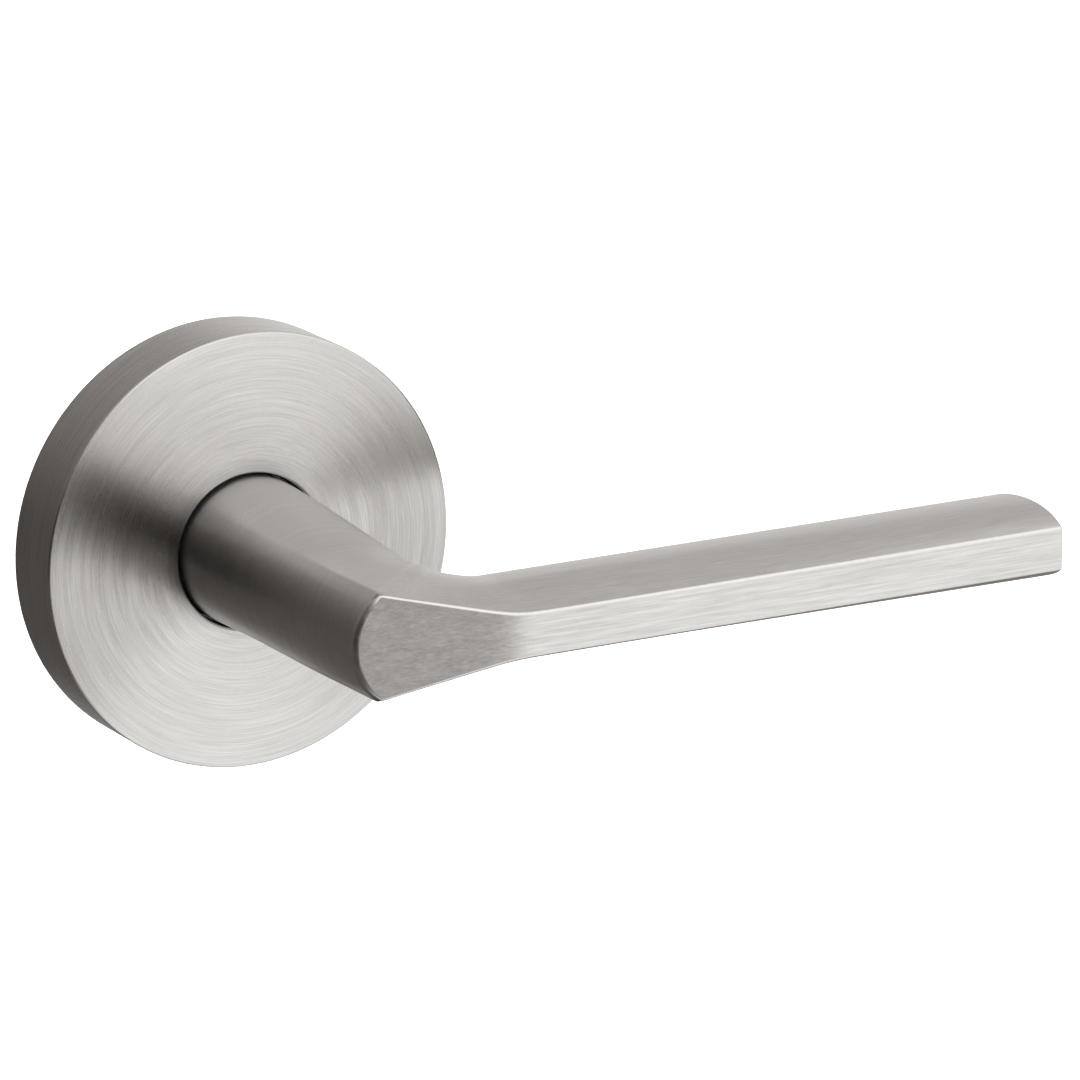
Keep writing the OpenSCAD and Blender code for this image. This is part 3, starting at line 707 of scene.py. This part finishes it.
pillar_places = [(PILLAR_AT * math.cos(math.radians(a)), PILLAR_AT * math.sin(math.radians(a)))
                 for a in PILLAR_ANGLES]
screw_top = COVER_FRONT + SCREW_HEAD_T
screw_outline = ([(0.0, COVER_BACK - 4.5), (SCREW_R - 0.5, COVER_BACK - 4.5)]
                 + thread(SCREW_R, SCREW_R - 0.25, COVER_BACK - 4.2, COVER_BACK, 0.5)
                 + [(SCREW_R, COVER_FRONT), (SCREW_HEAD_R, COVER_FRONT)]
                 + arc_points(SCREW_HEAD_R - 0.9, screw_top - 0.9, 0.9, 0, 90, 6)
                 + [(0.0, screw_top)])
cover_screws = new_piece("cover_screws_domed", copies_at(turned_shape(screw_outline, 32), pillar_places),
                         plated.material, "rose", ["cover_screws"])
for half_x, half_z in ((1.4, 0.3), (0.3, 1.4)):
    cut_away(cover_screws, copies_at(block((-half_x, screw_top - RECESS_DEPTH, -half_z),
                                           (half_x, screw_top + 1.0, half_z)), pillar_places))

# ---------------------------------------------------------------------------------------
# Return spring. Hard-drawn wire wound twice round the hub, with the drawing lines along
# the wire. Each end bends up into a straight leg beside the fixed lug.
# ---------------------------------------------------------------------------------------
COIL_R = 14.0
WIRE_R = 0.9
COIL_TURNS = 2
COIL_BACK = -2.0
COIL_PITCH = 1.85
LEG_X = 3.15
LEG_OUT = 19.5
LEG_BEND = 1.6
coil_steps = 48 * COIL_TURNS
leg_angle = math.degrees(math.asin(LEG_X / COIL_R))
coil_sweep = 2 * leg_angle + 360 * COIL_TURNS


def coil_point(t):
    a = math.radians(90 + leg_angle - coil_sweep * t)
    height = COIL_BACK + WIRE_R + COIL_PITCH * coil_sweep / 360 * t
    return Vector((COIL_R * math.cos(a), height, COIL_R * math.sin(a)))


def bent_leg(t, t_next):
    """Points from a leg's free end round its bend to the coil."""
    corner = coil_point(t)
    end = Vector((corner[0], corner[1], LEG_OUT))
    start = corner + (end - corner).normalized() * LEG_BEND
    stop = corner + (coil_point(t_next) - corner).normalized() * LEG_BEND
    bend = [start.lerp(corner, u).lerp(corner.lerp(stop, u), u) for u in (0, 0.2, 0.4, 0.6, 0.8, 1.0)]
    return [end] + bend


step = 1 / coil_steps
wire_points = (bent_leg(0.0, step) + [coil_point(k * step) for k in range(2, coil_steps - 1)]
               + list(reversed(bent_leg(1.0, 1.0 - step))))
wire = bpy.data.curves.new("return_spring_wire", "CURVE")
wire.dimensions = "3D"
wire.bevel_depth = WIRE_R * MM
wire.bevel_resolution = 5
wire.use_fill_caps = True
run = wire.splines.new("POLY")
run.points.add(len(wire_points) - 1)
for point, (x, s, z) in zip(run.points, wire_points):
    point.co = (x * MM, -s * MM, z * MM, 1.0)
run.use_smooth = True
spring = bpy.data.objects.new("return_spring_wire", wire)
bpy.context.scene.collection.objects.link(spring)
drawn_wire = metal_finish("hard_drawn_wire", SPRING_STEEL, 0.3, 1800)
wire.materials.append(drawn_wire.material)
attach(spring, "rose")
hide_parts("return_spring")

# ---------------------------------------------------------------------------------------
# Spindle, pin and hub. The hub keeps the model's shape, in turned steel with fine tool
# rings. The square spindle has rolled edges and a chamfered end, and the pin is plain.
# ---------------------------------------------------------------------------------------
SPINDLE_HALF = 3.95
SPINDLE_BACK = -40.0
SPINDLE_FRONT = 12.0
PIN_R = 1.49
PIN_AT = 0.3
PIN_HALF = 8.8
turned_steel = Finish("turned_steel", STEEL, 1.0, 0.3)
tool_rings = turned_steel.noise(turned_steel.round_the_axis(3000, 3000, 2.0), 1.0, 3.0, 0.6)
turned_steel.colour(tool_rings, tone(STEEL, 0.84), tone(STEEL, 1.06))
turned_steel.rough(tool_rings, 0.24, 0.4)
turned_steel.bump(tool_rings, 0.000015, 0.7)
dress(turned_steel, "hub")

drawn_bar = Finish("drawn_square_bar", STEEL, 1.0, 0.32)
draw_lines = drawn_bar.noise(drawn_bar.stretched(2600, 60, 2600), 1.0, 4.0, 0.6)
drawn_bar.colour(draw_lines, tone(STEEL, 0.8), tone(STEEL, 1.05))
drawn_bar.rough(draw_lines, 0.25, 0.42)
drawn_bar.bump(draw_lines, 0.00001, 0.6)
bar = block((-SPINDLE_HALF, SPINDLE_BACK, -SPINDLE_HALF), (SPINDLE_HALF, SPINDLE_FRONT, SPINDLE_HALF))
bmesh.ops.bevel(bar, geom=list(bar.edges), offset=0.35 * MM, segments=3, profile=0.6, affect="EDGES")
spindle = new_piece("spindle_bar", bar, drawn_bar.material, "lever", ["spindle"])


def pin_shape(radius, half, chamfer):
    """A plain pin across the hub, along X."""
    bm = bmesh.new()
    bmesh.ops.create_cone(bm, cap_ends=True, segments=40, radius1=radius * MM, radius2=radius * MM,
                          depth=2 * half * MM)
    if chamfer:
        rims = [e for e in bm.edges if abs(e.verts[0].co[2] - e.verts[1].co[2]) < 1e-9]
        bmesh.ops.bevel(bm, geom=rims, offset=chamfer * MM, segments=2, profile=0.5, affect="EDGES")
    bmesh.ops.rotate(bm, verts=bm.verts, cent=(0, 0, 0), matrix=Matrix.Rotation(math.pi / 2, 3, "Y"))
    bmesh.ops.translate(bm, verts=bm.verts, vec=(0, -PIN_AT * MM, 0))
    return bm


cut_away(spindle, pin_shape(PIN_R + 0.02, PIN_HALF, 0))
new_piece("spindle_pin_ground", pin_shape(PIN_R, PIN_HALF, 0.3), blued.material, "lever",
          ["spindle_pin"])

# ---------------------------------------------------------------------------------------
# Washer, circlip and set screw. The washer is turned, the circlip keeps the model's
# shape, and the blackened set screw has a thread and a hexagon socket under the neck.
# ---------------------------------------------------------------------------------------
BLACK_STEEL = (0.09, 0.09, 0.095, 1.0)
SET_SCREW_R = 2.48
SET_SCREW_LOW = 10.9
SET_SCREW_HIGH = 7.75
SOCKET_R = 1.25
blackened = metal_finish("blackened_steel", BLACK_STEEL, 0.38)
dress(blackened, "circlip")
new_piece("thrust_washer_turned", turned_shape(chamfered_ring(11.5, 8.1, -7.45, -6.85, 0.1), 96),
          plated.material, "lever", ["thrust_washer"])


def from_below(bm):
    """Turns a shape made round the Y axis so that it points down under the neck."""
    bmesh.ops.rotate(bm, verts=bm.verts, cent=(0, 0, 0), matrix=Matrix.Rotation(math.pi / 2, 3, "X"))
    bmesh.ops.translate(bm, verts=bm.verts, vec=(0, -SET_SCREW_AT * MM, 0))
    return bm


set_screw_outline = ([(0.0, SET_SCREW_HIGH), (SET_SCREW_R - 0.8, SET_SCREW_HIGH)]
                     + thread(SET_SCREW_R, SET_SCREW_R - 0.3, SET_SCREW_HIGH + 0.4,
                              SET_SCREW_LOW - 0.35, 0.5)
                     + [(SET_SCREW_R - 0.4, SET_SCREW_LOW), (0.0, SET_SCREW_LOW)])
set_screw = new_piece("set_screw_socket", from_below(turned_shape(set_screw_outline, 40)),
                      blackened.material, "lever", ["set_screw"])
cut_away(set_screw, upright_cylinder(SOCKET_R, 6, SET_SCREW_LOW + 1.0, SET_SCREW_LOW - 1.6))

# ---------------------------------------------------------------------------------------
# Studio: a plain pale floor well under the handle, soft light from above and in front,
# and dim walls at both sides that draw the dark fans on the brushed rose.
# ---------------------------------------------------------------------------------------
FLOOR_HALF = 9.0
FLOOR_Z = -0.32
floor_mesh = bmesh.new()
bmesh.ops.create_grid(floor_mesh, x_segments=1, y_segments=1, size=FLOOR_HALF)
bmesh.ops.translate(floor_mesh, verts=floor_mesh.verts, vec=(0, 0, FLOOR_Z))
floor_data = bpy.data.meshes.new("studio_floor")
floor_mesh.to_mesh(floor_data)
floor_mesh.free()
floor = bpy.data.objects.new("studio_floor", floor_data)
bpy.context.scene.collection.objects.link(floor)
floor_paint = Finish("pale_floor", (0.9, 0.9, 0.9, 1.0), 0.0, 0.9)
floor_data.materials.append(floor_paint.material)


def soft_light(name, place, look_at, width, height, power):
    data = bpy.data.lights.new(name, "AREA")
    data.shape = "RECTANGLE"
    data.size, data.size_y = width, height
    data.energy = power
    lamp = bpy.data.objects.new(name, data)
    aim = (Vector(look_at) - Vector(place)).to_track_quat("-Z", "Y")
    lamp.matrix_world = Matrix.Translation(place) @ aim.to_matrix().to_4x4()
    bpy.context.scene.collection.objects.link(lamp)
    return lamp


top_light = soft_light("top_light", (0.3, -0.2, 1.7), (0.05, 0, 0), 2.4, 1.6, 20)
floor_light = soft_light("floor_light", (0.6, 2.2, 2.6), (0.6, 1.2, FLOOR_Z), 4.0, 3.0, 190)
# the metal mirrors none of these, only the other pieces and the studio's brightness, set below
for unseen in (top_light, floor_light, floor):
    unseen.visible_glossy = False

world = bpy.data.worlds.new("studio")
world.use_nodes = True
bpy.context.scene.world = world
world_nodes = world.node_tree.nodes
world_links = world.node_tree.links


def world_node(kind, inputs, **settings):
    made = world_nodes.new(kind)
    for key, value in settings.items():
        setattr(made, key, value)
    for key, value in inputs.items():
        if isinstance(value, bpy.types.NodeSocket):
            world_links.new(value, made.inputs[key])
        else:
            made.inputs[key].default_value = value
    return made.outputs[0]


def step_up(value, start, end, low=0.0, high=1.0):
    """Runs smoothly from low at start to high at end."""
    return world_node("ShaderNodeMapRange", {"Value": value, "From Min": start, "From Max": end,
                                             "To Min": low, "To Max": high},
                      interpolation_type="SMOOTHSTEP")


def combine(operation, a, b):
    return world_node("ShaderNodeMath", {0: a, 1: b}, operation=operation)


def lobe(direction, inner, outer, high):
    """A soft round patch of light, with its inner and outer angle in degrees."""
    unit = Vector(direction).normalized()
    made = world_nodes.new("ShaderNodeVectorMath")
    made.operation = "DOT_PRODUCT"
    world_links.new(looking, made.inputs[0])
    made.inputs[1].default_value = unit
    return step_up(made.outputs["Value"], math.cos(math.radians(outer)),
                   math.cos(math.radians(inner)), 0.0, high)


looking = world_nodes.new("ShaderNodeTexCoord").outputs["Generated"]
split = world_nodes.new("ShaderNodeSeparateXYZ")
world_links.new(looking, split.inputs[0])
to_right, to_back, upward = split.outputs
# in front: a bright floor and a bright ceiling, with a dark gap between them at both sides
over_edge = combine("SUBTRACT", upward, combine("MULTIPLY", 0.06, to_right))
gap = combine("MULTIPLY", step_up(over_edge, -0.23, -0.18), step_up(upward, 0.02, 0.36, 1.0, 0.0))
gap_sides = combine("SUBTRACT", 1.0, lobe((0.479, -0.835, -0.06), 9, 26, 1.0))
front = combine("MULTIPLY", 1.14, combine("SUBTRACT", 1.0, combine("MULTIPLY", 0.9, combine(
    "MULTIPLY", gap, gap_sides))))
# softer patches in front: one that greys the end of the neck, one that shades its lower side
front = combine("MULTIPLY", front, combine("SUBTRACT", 1.0, lobe((0.05, -0.96, -0.27), 6, 18, 0.55)))
front = combine("MULTIPLY", front, combine("SUBTRACT", 1.0, lobe((-0.35, -0.8, -0.5), 10, 30, 0.85)))
front = combine("MULTIPLY", front, step_up(to_right, -0.62, -0.16, 0.08, 1.0))
front = combine("MULTIPLY", front, step_up(upward, -0.3, 0.3, 1.0, 1.24))
# behind: dim below and at the left, a grey ceiling, and the white backdrop at the right
rear = combine("ADD", step_up(upward, -0.1, 0.75, 0.1, 0.43), combine(
    "MULTIPLY", step_up(upward, -0.1, 0.5), step_up(to_right, 0.0, 0.6, -0.1, 0.15)))
rear = combine("ADD", rear, lobe((0.55, 0.835, -0.12), 10, 36, 0.75))
mixed = world_node("ShaderNodeMix", {"Factor": step_up(to_back, -0.35, 0.25), "A": front, "B": rear})
world_links.new(mixed, world_nodes["Background"].inputs["Strength"])
# the dim parts of the room are slightly warm, the lights are neutral
warmth = world_nodes.new("ShaderNodeValToRGB")
world_links.new(mixed, warmth.inputs["Fac"])
warmth.color_ramp.elements[0].position = 0.15
warmth.color_ramp.elements[0].color = (1.08, 1.0, 0.94, 1.0)
warmth.color_ramp.elements[1].position = 1.0
warmth.color_ramp.elements[1].color = (1.0, 1.0, 1.0, 1.0)
world_links.new(warmth.outputs["Color"], world_nodes["Background"].inputs["Color"])
bpy.context.scene.view_settings.view_transform = "Standard"

SENSOR_WIDTH = 36
LENS = 220.97
CAMERA_DISTANCE = 0.988
camera_data = bpy.data.cameras.new("camera")
camera_data.sensor_width = SENSOR_WIDTH
camera_data.lens = LENS
camera_data.clip_start = 0.05
camera = bpy.data.objects.new("camera", camera_data)
target = Vector((0.03893, -0.02964, 0.00079))
back = Vector((-0.4793, -0.8349, 0.2708)).normalized()
camera.matrix_world = (Matrix.Translation(target + back * CAMERA_DISTANCE)
                       @ (-back).to_track_quat("-Z", "Y").to_matrix().to_4x4())
bpy.context.scene.collection.objects.link(camera)
bpy.context.scene.camera = camera
